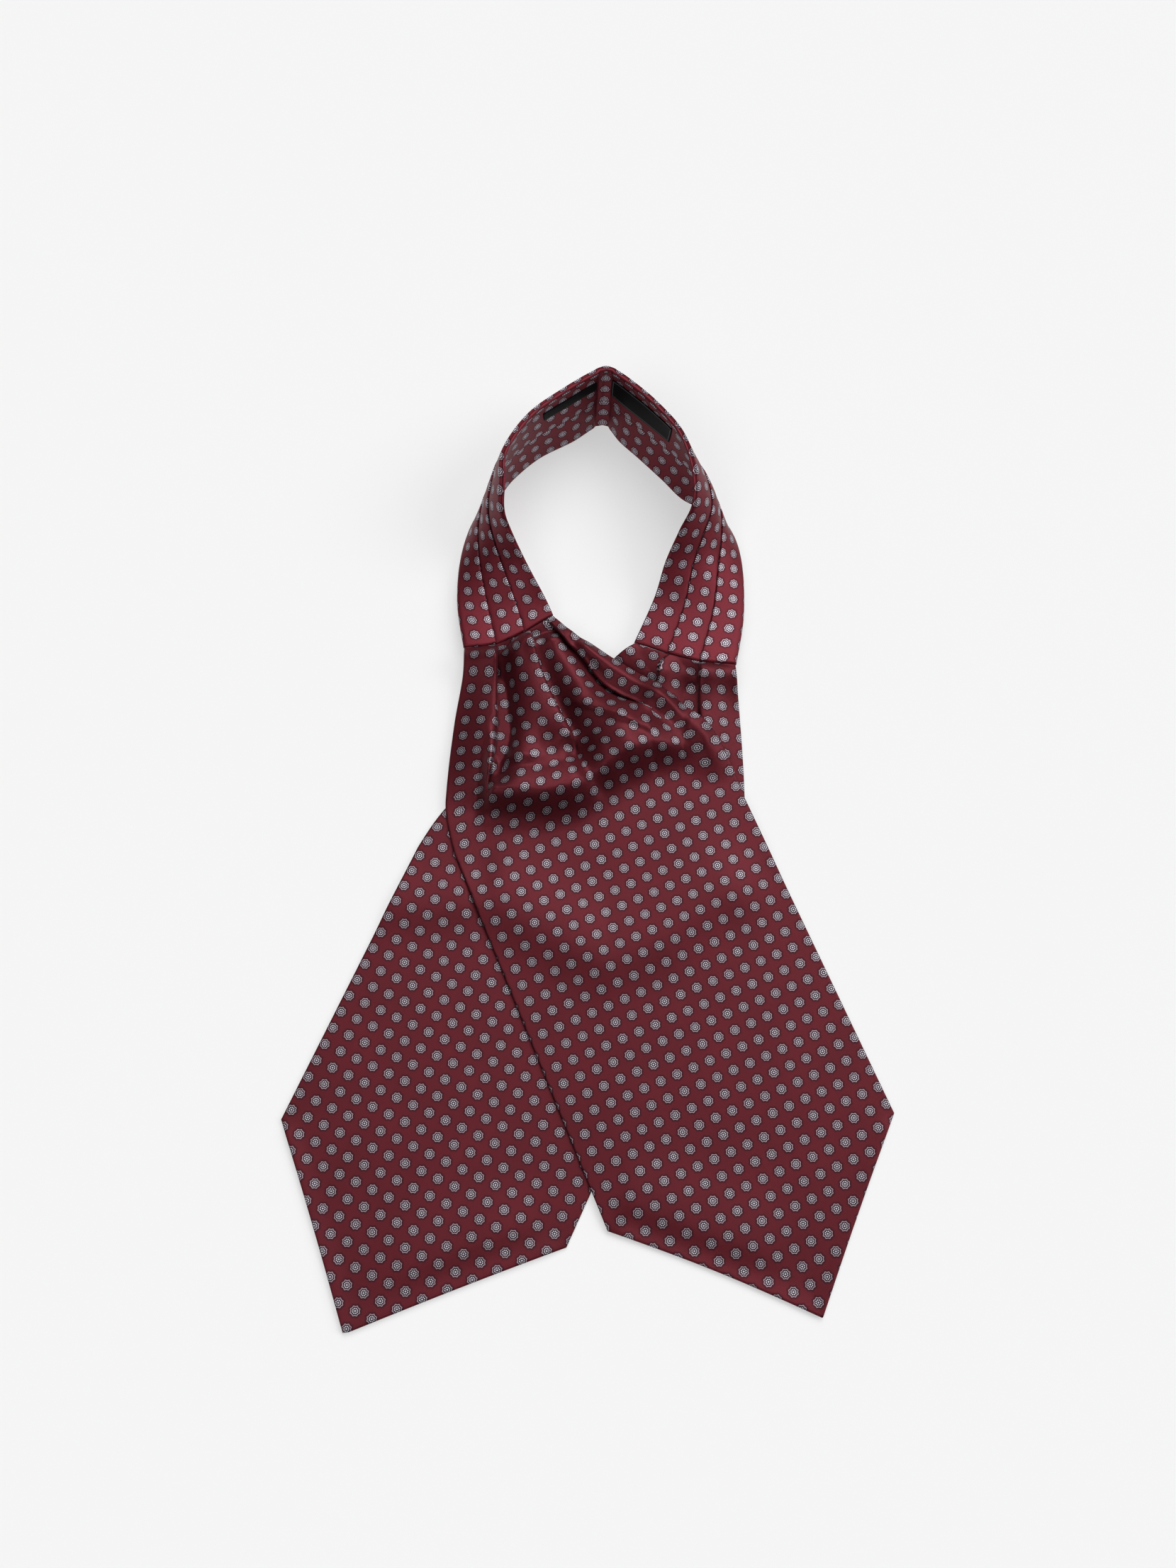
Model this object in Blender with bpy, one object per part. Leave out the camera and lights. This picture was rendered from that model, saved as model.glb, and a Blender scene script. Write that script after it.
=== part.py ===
# A silk day cravat laid out flat on a table: a pleated neckband that stands up in a loop,
# and two wide pointed blades that hang from its ends and cross.
# Sizes are in millimetres and become metres when a mesh is made. +X is the viewer's right,
# +Y runs up the loop to its centre back, +Z is up. The origin is under the middle of the box.
import math
from collections import namedtuple

import bmesh
import bpy
from mathutils import Vector

MM = 0.001
UP = Vector((0.0, 0.0, 1.0))

# Cloth
BLADE_WALL = 1.6  # two silk layers over a thin interlining
SEAM_WALL = 4.0  # the same cloth pleated three deep at the neckband
BAND_WALL = 4.4
PLEAT_STEP = 0.9  # how far each strip of the neckband stands above the next
SEAM_GAP = 0.3
REST_GAP = 0.4  # between the blades where one lies on the other
WALL_REACH = 20.0  # how far the pleats' thickness runs down from a seam
EDGE_SHARE = 0.55  # a blade's wall at its rolled edge
STRIP_CROWN = 0.3  # how far the middle of each strip of the neckband stands up
LAP_SHARE = 0.02  # half the width of each step between two strips
LABEL_WALL = 0.5

# Meshes
BAND_STEPS = 44
DRAPE_ROWS = 24
FLAT_ROWS = 9
LABEL_COLUMNS = 8
SHARP_ANGLE = 50.0  # degrees between faces past which an edge stays sharp

FOOTPRINT_MIDDLE = (-0.1, -2.1)  # the middle of the drawn outline's box, which goes to the origin
PLEAT_FRACTIONS = (0.32, 0.64)  # where the two fold edges lie, from the shoulder edge
END_BLEND = 0.12  # share of the drape in which a blade leaves the neckband's end

Section = namedtuple("Section", "name bulge shoulder chin")
Guide = namedtuple("Guide", "name across columns points")
Fold = namedtuple("Fold", "name height left_width right_width fade_in fade_out points")

# The inner face of the neckband from the left seam round the back to the right seam: how far
# its middle bulges outwards, then its shoulder edge and its chin edge, each x, y, z.
BAND_SECTIONS = (
    Section("left seam", 0.0, (-68.6, 100.0, 4.2), (-19.4, 119.6, 5.2)),
    Section("left front", 0.4, (-72.6, 127.0, 2.2), (-24.4, 130.4, 8.6)),
    Section("left turn", 1.0, (-71.2, 152.0, 0.8), (-34.2, 146.4, 18.0)),
    Section("left twist", 2.0, (-65.4, 173.0, 0.0), (-42.6, 160.4, 29.5)),
    Section("left upright", 4.0, (-56.6, 188.5, 0.0), (-46.2, 168.6, 39.0)),
    Section("left side", 5.0, (-49.0, 198.0, 0.0), (-45.8, 183.0, 44.5)),
    Section("left quarter", 3.2, (-41.6, 208.0, 0.0), (-45.0, 200.6, 45.6)),
    Section("left back", 1.0, (-27.4, 221.0, 0.0), (-31.8, 223.0, 45.0)),
    Section("left crease", 0.0, (-8.4, 231.8, 0.0), (-12.4, 239.8, 44.0)),
    Section("left of centre", 0.0, (5.0, 241.4, 0.0), (6.6, 252.2, 43.8)),
    Section("right of centre", 0.0, (10.8, 241.4, 0.0), (13.0, 252.6, 43.8)),
    Section("right crease", 0.0, (18.0, 231.6, 0.0), (24.0, 244.4, 44.0)),
    Section("right back", 1.0, (29.2, 220.4, 0.0), (38.0, 230.0, 45.0)),
    Section("right quarter", 4.0, (42.0, 207.0, 0.0), (50.6, 212.4, 45.6)),
    Section("right side", 8.2, (53.6, 194.4, 0.0), (57.0, 192.0, 44.5)),
    Section("right upright", 6.4, (69.0, 185.4, 0.0), (57.6, 172.6, 39.0)),
    Section("right twist", 3.4, (80.8, 170.4, 0.0), (50.6, 160.6, 29.0)),
    Section("right turn", 1.4, (86.0, 150.0, 0.8), (43.0, 146.8, 18.0)),
    Section("right front", 0.4, (86.4, 119.6, 2.2), (36.8, 128.8, 8.6)),
    Section("right seam", 0.0, (81.4, 89.8, 4.2), (25.6, 103.0, 5.2)),
)
LEFT_SEAM_SAG = 5.4  # how far each seam dips between the neckband's edges
RIGHT_SEAM_SAG = 3.2
SAG_STATIONS = 9.0  # one over the share of the neckband that dips with its seam

# Each blade's cloth between the neckband and the line where it lies flat, from its left edge to
# its right edge: the share across the neckband's end where a guide starts, the grid's columns
# between it and the next one, and its points.
FRONT_GUIDES = (
    Guide("outer edge", 0.0, 4, (
        (-68.7, 100.2), (-68.8, 85.0), (-73.2, 55.8), (-76.3, 19.9), (-76.2, 4.0), (-71.2, -17.7))),
    Guide("first trough", 0.32, 8, (
        (-51.1, 101.0), (-51.5, 79.9), (-51.1, 47.6), (-53.6, 26.4), (-53.0, 8.0), (-49.6, -13.1))),
    Guide("second trough", 0.64, 8, (
        (-34.4, 111.2), (-27.1, 85.0), (-18.0, 63.7), (-8.6, 43.6), (-1.6, 24.0), (6.3, -1.2))),
    Guide("third trough", 0.95, 4, (
        (-21.0, 118.6), (-13.1, 106.5), (-2.1, 94.7), (9.9, 79.1), (24.6, 67.9), (38.0, 58.5),
        (54.0, 38.0), (67.2, 11.8))),
    Guide("neck edge", 1.0, 0, (
        (-19.1, 119.8), (-10.6, 110.5), (4.0, 100.2), (13.6, 93.0), (33.3, 80.4), (52.9, 64.9),
        (67.0, 52.5), (76.0, 37.3), (83.9, 15.4))),
)
UNDER_GUIDES = (
    Guide("neck edge", 1.0, 5, (
        (25.6, 103.0), (12.0, 92.8), (-12.0, 72.0), (-45.0, 40.0), (-75.0, 11.0), (-91.0, -13.0))),
    Guide("inner trough", 0.64, 3, (
        (41.6, 95.1), (39.6, 87.9), (38.0, 76.0), (12.0, 38.0), (-44.0, -13.0))),
    Guide("middle", 0.48, 3, (
        (52.0, 94.0), (51.0, 80.0), (46.0, 60.0), (26.0, 26.0), (-2.0, -13.4))),
    Guide("outer trough", 0.32, 5, (
        (63.0, 92.6), (62.5, 82.0), (62.4, 64.0), (64.0, 30.0), (54.0, -13.8))),
    Guide("outer edge", 0.0, 0, (
        (81.4, 89.6), (82.9, 68.2), (84.0, 44.6), (84.6, 20.5), (84.2, -14.0))),
)
FRONT_END = ((9.7, -211.8), (114.9, -253.0), (155.7, -153.7))  # left corner, tip, right corner
UNDER_END = ((-155.9, -156.9), (-119.5, -260.6), (-10.7, -219.6))

# Soft folds: a positive height is a ridge and a negative one a trough. Each has the widths of
# its left and right slopes, seen along its points, and the share of its length in which it
# rises and dies away.
FRONT_FOLDS = (
    Fold("seam lift", 5.4, 15.0, 15.0, 0.0, 0.0, ((-69.0, 100.0), (-51.0, 101.0), (-19.0, 119.0))),
    Fold("outer strip", 6.0, 4.5, 18.0, 0.0, 0.35, (
        (-54.6, 100.0), (-55.0, 80.0), (-55.0, 48.0), (-57.0, 26.0), (-58.0, 4.0))),
    Fold("middle strip", 3.0, 15.0, 15.0, 0.0, 0.1, (
        (-45.0, 98.0), (-40.0, 70.0), (-34.0, 46.0), (-28.0, 28.0))),
    Fold("second edge", 6.5, 6.0, 15.0, 0.0, 0.2, (
        (-36.6, 108.0), (-31.0, 86.0), (-23.0, 66.0), (-14.0, 48.0), (-8.0, 34.0))),
    Fold("third strip", 5.4, 13.0, 14.0, 0.0, 0.3, (
        (-14.0, 102.0), (2.0, 82.0), (20.0, 62.0), (34.0, 50.0))),
    Fold("pouf", 13.0, 25.0, 9.0, 0.08, 0.4, (
        (-60.0, 17.0), (-42.0, 15.0), (-24.0, 14.0), (-10.0, 17.0), (3.0, 25.0), (16.0, 35.0),
        (33.0, 43.0), (52.0, 43.0), (68.0, 38.0))),
    Fold("step", 2.0, 10.0, 4.0, 0.15, 0.3, (
        (-14.0, 71.0), (0.0, 63.0), (9.8, 59.0), (27.0, 51.5), (42.5, 45.0))),
    Fold("collar", 5.0, 6.0, 5.0, 0.08, 0.3, (
        (-8.0, 104.0), (13.0, 86.5), (28.0, 76.5), (46.0, 63.5), (62.0, 46.0), (76.0, 22.0))),
    Fold("first trough", -7.5, 6.5, 4.0, 0.03, 0.35, FRONT_GUIDES[1].points[:5]),
    Fold("second trough", -6.5, 7.0, 4.0, 0.03, 0.3, FRONT_GUIDES[2].points[:5]),
    Fold("third trough", -6.5, 4.0, 7.0, 0.1, 0.3, FRONT_GUIDES[3].points[1:6]),
)
UNDER_FOLDS = (
    Fold("seam lift", 5.0, 15.0, 15.0, 0.0, 0.0, ((81.0, 90.0), (63.0, 92.6), (27.0, 103.0))),
    Fold("outer strip", 4.2, 13.0, 5.0, 0.0, 0.4, (
        (66.4, 91.0), (66.4, 78.0), (66.6, 62.0), (69.0, 40.0), (70.0, 20.0))),
    Fold("inner strip", 3.6, 10.0, 5.0, 0.0, 0.4, (
        (46.0, 95.0), (44.6, 84.0), (44.0, 70.0), (41.0, 56.0))),
    Fold("outer trough", -5.0, 4.0, 7.0, 0.03, 0.3, (
        (63.0, 93.0), (62.5, 80.0), (62.4, 62.0), (64.0, 46.0))),
    Fold("inner trough", -4.2, 4.0, 6.0, 0.03, 0.3, ((41.6, 96.0), (39.6, 84.0), (38.0, 66.0))),
)
COVER_MARGIN = 1.5  # the front blade keeps its full height this far past the under blade's edge
COVER_FALL = 20.0  # and comes down to the table in this further distance

# Labels on the neckband's inner face, bare
Label = namedtuple("Label", "name start end low high")
LABELS = (
    Label("label_narrow", 0.386, 0.468, 0.70, 0.83),
    Label("label_wide", 0.534, 0.668, 0.60, 0.86),
)

SILK = (0.235, 0.030, 0.040)
SILK_ROUGHNESS = 0.42
LABEL_SATIN = (0.012, 0.012, 0.014)
SATIN_ROUGHNESS = 0.35
COLLECTION = "silk cravat"


def smooth(value):
    """0 to 1 with flat ends."""
    value = min(1.0, max(0.0, value))
    return value * value * (3.0 - 2.0 * value)


def spline(points, fraction):
    """A point of the smooth curve through points, fraction of the way along its chords."""
    lengths = [(b - a).length for a, b in zip(points, points[1:])]
    distance = min(1.0, max(0.0, fraction)) * sum(lengths)
    index = 0
    while index < len(lengths) - 1 and distance > lengths[index]:
        distance -= lengths[index]
        index += 1
    t = min(1.0, distance / lengths[index])
    a = points[max(index - 1, 0)]
    b = points[index]
    c = points[index + 1]
    d = points[min(index + 2, len(points) - 1)]
    return 0.5 * (
        2.0 * b
        + (c - a) * t
        + (2.0 * a - 5.0 * b + 4.0 * c - d) * t * t
        + (3.0 * b - a - 3.0 * c + d) * t * t * t
    )


def beside(x, y, points):
    """The distance to a run of points, left of it positive, and the share of its length there."""
    best = None
    done = 0.0
    spot = Vector((x, y))
    total = sum((b - a).length for a, b in zip(points, points[1:]))
    for a, b in zip(points, points[1:]):
        run = b - a
        share = min(1.0, max(0.0, (spot - a).dot(run) / run.length_squared))
        away = spot - a - run * share
        side = 1.0 if run.x * away.y - run.y * away.x >= 0.0 else -1.0
        if best is None or away.length < abs(best[0]):
            best = (side * away.length, (done + run.length * share) / total)
        done += run.length
    return best


def relief(x, y, folds):
    """The height that the folds give at a place."""
    height = 0.0
    for fold in folds:
        distance, share = beside(x, y, [Vector(p) for p in fold.points])
        width = fold.left_width if distance > 0.0 else fold.right_width
        rise = smooth(share / fold.fade_in) if fold.fade_in else 1.0
        fall = smooth((1.0 - share) / fold.fade_out) if fold.fade_out else 1.0
        height += fold.height * rise * fall * math.exp(-((distance / width) ** 2))
    return max(0.0, height)


def wall_at(x, y, seam_fold):
    """The thickness of a blade, most at its pleated seam."""
    distance, _ = beside(x, y, [Vector(p) for p in seam_fold.points])
    return BLADE_WALL + (SEAM_WALL - BLADE_WALL) * math.exp(-((distance / WALL_REACH) ** 2))


def table(x, y):
    """What the under blade lies on."""
    return 0.0


def under_top(x, y):
    return relief(x, y, UNDER_FOLDS) + wall_at(x, y, UNDER_FOLDS[0])


def cover(x, y):
    """The height that the front blade needs to clear the under blade."""
    neck_edge = [Vector(p) for p in UNDER_GUIDES[0].points] + [Vector(UNDER_END[0])]
    far_edge = [Vector(p) for p in UNDER_GUIDES[-1].points] + [Vector(UNDER_END[2])]
    inside = min(beside(x, y, neck_edge)[0], -beside(x, y, far_edge)[0])
    share = smooth(1.0 + (inside + COVER_MARGIN) / COVER_FALL)
    return share * (under_top(x, y) + REST_GAP)


def band_frame(fraction):
    """The inner face's two edges and the outward direction, a fraction of the way round."""
    edges = (
        [Vector(section.shoulder) for section in BAND_SECTIONS],
        [Vector(section.chin) for section in BAND_SECTIONS],
    )
    step = fraction * (len(BAND_SECTIONS) - 1)
    shoulder, chin = (station_point(points, step) for points in edges)
    forward = Vector((0.0, 0.0, 0.0))
    for points in edges:
        forward += station_point(points, step + 0.05) - station_point(points, step - 0.05)
    outward = (chin - shoulder).cross(forward).normalized()
    return shoulder, chin, outward, forward.normalized()


def station_point(points, step):
    """A value of the smooth curve through the sections, step sections from the first."""
    step = min(len(points) - 1.0, max(0.0, step))
    index = min(int(step), len(points) - 2)
    t = step - index
    a = points[max(index - 1, 0)]
    b = points[index]
    c = points[index + 1]
    d = points[min(index + 2, len(points) - 1)]
    return 0.5 * (
        2.0 * b
        + (c - a) * t
        + (2.0 * a - 5.0 * b + 4.0 * c - d) * t * t
        + (3.0 * b - a - 3.0 * c + d) * t * t * t
    )


def sag_at(fraction, across):
    """How far the seam ends of the neckband dip between its edges."""
    near_left = smooth(1.0 - fraction * SAG_STATIONS) * LEFT_SEAM_SAG
    near_right = smooth(1.0 - (1.0 - fraction) * SAG_STATIONS) * RIGHT_SEAM_SAG
    share = math.sin(math.pi * across) * (1.4 - across)
    return (near_right - near_left) * share


def pleat_height(across):
    """The outer face above the inner face: three strips, each lapping the next."""
    first, second = PLEAT_FRACTIONS
    if across < first:
        return BAND_WALL
    if across < second:
        return BAND_WALL - PLEAT_STEP
    return BAND_WALL - 2.0 * PLEAT_STEP


def band_outline():
    """The neckband's section: pairs of the share across and the height over its inner face."""
    first, second = PLEAT_FRACTIONS
    middle_top = BAND_WALL - PLEAT_STEP
    low_top = BAND_WALL - 2.0 * PLEAT_STEP
    top = [(0.0, 0.6 * BAND_WALL), (0.05, BAND_WALL), (0.5 * first, BAND_WALL + STRIP_CROWN)]
    top += [(first - LAP_SHARE, BAND_WALL), (first + LAP_SHARE, middle_top)]
    top += [(0.5 * (first + second), middle_top + STRIP_CROWN)]
    top += [(second - LAP_SHARE, middle_top), (second + LAP_SHARE, low_top)]
    top += [(0.5 * (second + 1.0), low_top + STRIP_CROWN), (0.96, low_top)]
    top += [(1.0, 0.3 * BAND_WALL)]
    inner = [(0.98, 0.0), (0.75, 0.0), (0.5, 0.0), (0.25, 0.0), (0.02, 0.0)]
    return top + inner


def band_point(fraction, across, height):
    shoulder, chin, outward, forward = band_frame(fraction)
    bulges = [section.bulge for section in BAND_SECTIONS]
    bulge = station_point(bulges, fraction * (len(bulges) - 1)) * math.sin(math.pi * across)
    point = shoulder.lerp(chin, across) + outward * (height + bulge)
    point += forward * sag_at(fraction, across)
    point.z = max(point.z, 0.0)
    return point


def mesh_object(name, work, colour, roughness):
    """Makes the object, in metres, with its own material."""
    bmesh.ops.recalc_face_normals(work, faces=work.faces)
    bmesh.ops.scale(work, vec=(MM, MM, MM), verts=work.verts)
    mesh = bpy.data.meshes.new(name)
    work.to_mesh(mesh)
    work.free()
    mesh.shade_smooth()
    mesh.set_sharp_from_angle(angle=math.radians(SHARP_ANGLE))
    material = bpy.data.materials.new(name)
    material.use_nodes = True
    shader = material.node_tree.nodes["Principled BSDF"]
    shader.inputs["Base Color"].default_value = (*colour, 1.0)
    shader.inputs["Roughness"].default_value = roughness
    shader.inputs["Metallic"].default_value = 0.0
    mesh.materials.append(material)
    thing = bpy.data.objects.new(name, mesh)
    thing.location = (-FOOTPRINT_MIDDLE[0] * MM, -FOOTPRINT_MIDDLE[1] * MM, 0.0)
    bpy.data.collections[COLLECTION].objects.link(thing)
    return thing


def make_neckband():
    """Lofts the pleated strip through its sections and closes both ends."""
    work = bmesh.new()
    outline = band_outline()
    rings = []
    for index in range(BAND_STEPS + 1):
        fraction = index / BAND_STEPS
        ring = [work.verts.new(band_point(fraction, across, height)) for across, height in outline]
        rings.append(ring)
    for ring, following in zip(rings, rings[1:]):
        for index in range(len(outline)):
            other = (index + 1) % len(outline)
            work.faces.new((ring[index], ring[other], following[other], following[index]))
    for ring in (rings[0], rings[-1]):
        cap = work.faces.new(ring)
        bmesh.ops.triangulate(work, faces=[cap])
    return mesh_object("neckband", work, SILK, SILK_ROUGHNESS)


def column_places(guides):
    """The columns of a blade: the guide that each lies after, and how far on to the next."""
    places = []
    for index, guide in enumerate(guides[:-1]):
        places += [(index, step / guide.columns) for step in range(guide.columns)]
    places.append((len(guides) - 2, 1.0))
    return places


def plan_point(place, row, guides, end):
    """A blade's cloth from above: pleated rows from the seam, then flat rows to its point."""
    index, share = place
    left = [Vector(p) for p in guides[index].points]
    right = [Vector(p) for p in guides[index + 1].points]
    if row <= DRAPE_ROWS:
        fraction = row / DRAPE_ROWS
        return spline(left, fraction).lerp(spline(right, fraction), share)
    knee = left[-1].lerp(right[-1], share)
    first = Vector(guides[0].points[-1])
    last = Vector(guides[-1].points[-1])
    across = (knee - first).dot(last - first) / (last - first).length_squared
    left_corner, tip, right_corner = (Vector(p) for p in end)
    if across < 0.5:
        target = left_corner.lerp(tip, 2.0 * across)
    else:
        target = tip.lerp(right_corner, 2.0 * across - 1.0)
    return knee.lerp(target, (row - DRAPE_ROWS) / FLAT_ROWS)


def blade_walls(place, row, guides, end, folds, below, band_end):
    """One place of a blade's underside, and the thickness of its cloth there."""
    plan = plan_point(place, row, guides, end)
    bottom = below(plan.x, plan.y) + relief(plan.x, plan.y, folds)
    wall = wall_at(plan.x, plan.y, folds[0])
    blend = smooth(row / DRAPE_ROWS / END_BLEND)
    if blend < 1.0:
        index, share = place
        start = guides[index].across
        across = start + (guides[index + 1].across - start) * share
        seam = band_point(band_end, across, 0.0)
        bottom = seam.z + (bottom - seam.z) * blend
        wall = pleat_height(across) + (wall - pleat_height(across)) * blend
        if row == 0:
            plan = Vector((seam.x, seam.y - SEAM_GAP))
    return Vector((plan.x, plan.y, bottom)), wall


def make_blade(name, guides, end, folds, below, band_end):
    """Moves a grid to the blade's folds and thickens it to a wall that is flat where it rests."""
    work = bmesh.new()
    place_layer = work.verts.layers.int.new("place")
    places = column_places(guides)
    columns = len(places) - 1
    rows = DRAPE_ROWS + FLAT_ROWS
    bmesh.ops.create_grid(work, x_segments=columns, y_segments=rows, size=0.5)
    upper = {}
    for vert in work.verts:
        column = round((vert.co.x + 0.5) * columns)
        row = round((0.5 - vert.co.y) * rows)
        lower, wall = blade_walls(places[column], row, guides, end, folds, below, band_end)
        if column in (0, columns) or row == rows:
            wall *= EDGE_SHARE
        vert.co = lower
        vert[place_layer] = row * (columns + 1) + column
        upper[vert[place_layer]] = lower + UP * wall
    made = bmesh.ops.extrude_face_region(work, geom=list(work.faces), use_keep_orig=True)
    for vert in (item for item in made["geom"] if isinstance(item, bmesh.types.BMVert)):
        vert.co = upper[vert[place_layer]]
    return mesh_object(name, work, SILK, SILK_ROUGHNESS)


def make_label(label):
    """A thin strip of satin on the neckband's inner face, made from that face's points."""
    work = bmesh.new()
    bmesh.ops.create_grid(work, x_segments=LABEL_COLUMNS, y_segments=2, size=0.5)
    for vert in work.verts:
        fraction = label.start + (label.end - label.start) * (vert.co.x + 0.5)
        across = label.low + (label.high - label.low) * (vert.co.y + 0.5)
        vert.co = band_point(fraction, across, -SEAM_GAP)
    low = list(work.faces)
    made = bmesh.ops.extrude_face_region(work, geom=low, use_keep_orig=True)
    for vert in (item for item in made["geom"] if isinstance(item, bmesh.types.BMVert)):
        vert.co -= outward_near(vert.co, label) * LABEL_WALL
    return mesh_object(label.name, work, LABEL_SATIN, SATIN_ROUGHNESS)


def outward_near(place, label):
    """The neckband's outward direction at the label's nearest station."""
    best = None
    for index in range(LABEL_COLUMNS + 1):
        fraction = label.start + (label.end - label.start) * index / LABEL_COLUMNS
        shoulder, chin, outward, _ = band_frame(fraction)
        distance = (shoulder.lerp(chin, 0.5 * (label.low + label.high)) - place).length
        if best is None or distance < best[0]:
            best = (distance, outward)
    return best[1]


def clear_scene():
    for thing in list(bpy.data.objects):
        bpy.data.objects.remove(thing, do_unlink=True)
    collection = bpy.data.collections.new(COLLECTION)
    bpy.context.scene.collection.children.link(collection)


def main():
    clear_scene()
    make_neckband()
    make_blade("under_blade", UNDER_GUIDES, UNDER_END, UNDER_FOLDS, table, 1.0)
    make_blade("front_blade", FRONT_GUIDES, FRONT_END, FRONT_FOLDS, cover, 0.0)
    for label in LABELS:
        make_label(label)


main()
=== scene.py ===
import math

import bmesh
import bpy
import numpy as np
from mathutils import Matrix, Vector


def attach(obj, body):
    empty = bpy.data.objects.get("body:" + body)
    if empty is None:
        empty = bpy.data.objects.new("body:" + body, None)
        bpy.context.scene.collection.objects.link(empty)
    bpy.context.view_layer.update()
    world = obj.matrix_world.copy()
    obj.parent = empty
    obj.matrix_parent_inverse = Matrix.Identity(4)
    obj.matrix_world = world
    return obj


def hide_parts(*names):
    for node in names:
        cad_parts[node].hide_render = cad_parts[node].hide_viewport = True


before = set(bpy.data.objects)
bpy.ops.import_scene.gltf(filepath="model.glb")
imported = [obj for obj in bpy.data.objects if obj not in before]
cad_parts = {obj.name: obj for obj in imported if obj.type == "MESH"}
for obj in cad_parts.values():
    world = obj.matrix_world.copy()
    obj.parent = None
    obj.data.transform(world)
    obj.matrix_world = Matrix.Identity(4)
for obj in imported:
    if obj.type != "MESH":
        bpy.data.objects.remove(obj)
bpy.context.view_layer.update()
print("frame loaded")

mm = 0.001
drawnShift = np.array((0.1, 2.1, 0.0))  # from the drawing's zero to the row's origin

# what the silk and its print look like, in metres where they are sizes
silkLook = {
    "spacing": 0.0092,  # from rosette to rosette, in a square repeat
    "rosette": 0.00226,  # mean radius of the outline
    "lobes": 0.095,  # how far its eight points and notches leave that radius
    "outline": 0.00044,
    "dotRing": 0.00121,
    "dot": 0.00033,
    "centre": 0.00043,
    "ground": (0.140, 0.0148, 0.0235),
    "groundShade": (0.062, 0.0084, 0.0120),
    "halo": (0.024, 0.0065, 0.0105),
    "field": (0.010, 0.0095, 0.0135),
    "line": (0.32, 0.225, 0.26),
    "white": (0.48, 0.43, 0.475),
    "bandPaintedSheen": 1.42,  # painted sheen: the neckband's colours are lightened for the brighter gloss it catches, lying on another grain
    "twill": 0.00046,  # from one diagonal line of the weave to the next
    "twillDepth": 0.00004,
    "roughness": 0.42,
    "lustre": 0.55,  # share of the gloss that takes the silk's own colour
    "sheen": 0.03,
}


def smooth(value):
    value = np.clip(value, 0.0, 1.0)
    return value * value * (3.0 - 2.0 * value)


def along(points, fraction, after=None):
    # the smooth curve through points; after steers its end and isn't reached
    points = np.asarray(points, float)
    chords = np.linalg.norm(np.diff(points, axis=0), axis=1)
    ends = np.concatenate(([0.0], np.cumsum(chords)))
    distance = np.clip(fraction, 0.0, 1.0) * ends[-1]
    i = np.clip(np.searchsorted(ends, distance, side="right") - 1, 0, len(chords) - 1)
    t = ((distance - ends[i]) / chords[i])[..., None]
    tail = points[-1] if after is None else np.asarray(after, float)
    longer = np.vstack((points, tail))
    a, b, c, d = longer[np.maximum(i - 1, 0)], longer[i], longer[i + 1], longer[i + 2]
    return curvePoint(a, b, c, d, t)


def curvePoint(a, b, c, d, t):
    return 0.5 * (2 * b + (c - a) * t + (2 * a - 5 * b + 4 * c - d) * t**2 + (3 * b - a - 3 * c + d) * t**3)


def beside(x, y, points):
    # how far to the left of a run of points a place is, and the share of the run at its nearest
    points = np.asarray(points, float)
    nearest = np.full(np.shape(x), 1e9)
    share = np.zeros(np.shape(x))
    done = 0.0
    total = np.linalg.norm(np.diff(points, axis=0), axis=1).sum()
    for a, b in zip(points, points[1:]):
        run = b - a
        length = math.hypot(*run)
        dx, dy = x - a[0], y - a[1]
        t = np.clip((dx * run[0] + dy * run[1]) / length**2, 0.0, 1.0)
        awayX, awayY = dx - run[0] * t, dy - run[1] * t
        side = np.where(run[0] * awayY - run[1] * awayX >= 0.0, 1.0, -1.0)
        distance = side * np.hypot(awayX, awayY)
        closer = np.abs(distance) < np.abs(nearest)
        nearest = np.where(closer, distance, nearest)
        share = np.where(closer, (done + length * t) / total, share)
        done += length
    return nearest, share


def relief(x, y, folds):
    # the height that soft folds give: (height, left width, right width, rise, fall, points)
    height = np.zeros(np.shape(x))
    for rise, leftWidth, rightWidth, fadeIn, fadeOut, points in folds:
        distance, share = beside(x, y, points)
        width = np.where(distance > 0.0, leftWidth, rightWidth)
        fade = smooth(share / fadeIn) if fadeIn else 1.0
        fade = fade * (smooth((1.0 - share) / fadeOut) if fadeOut else 1.0)
        height = height + rise * fade * np.exp(-((distance / width) ** 2))
    return height


# neckband values

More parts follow.
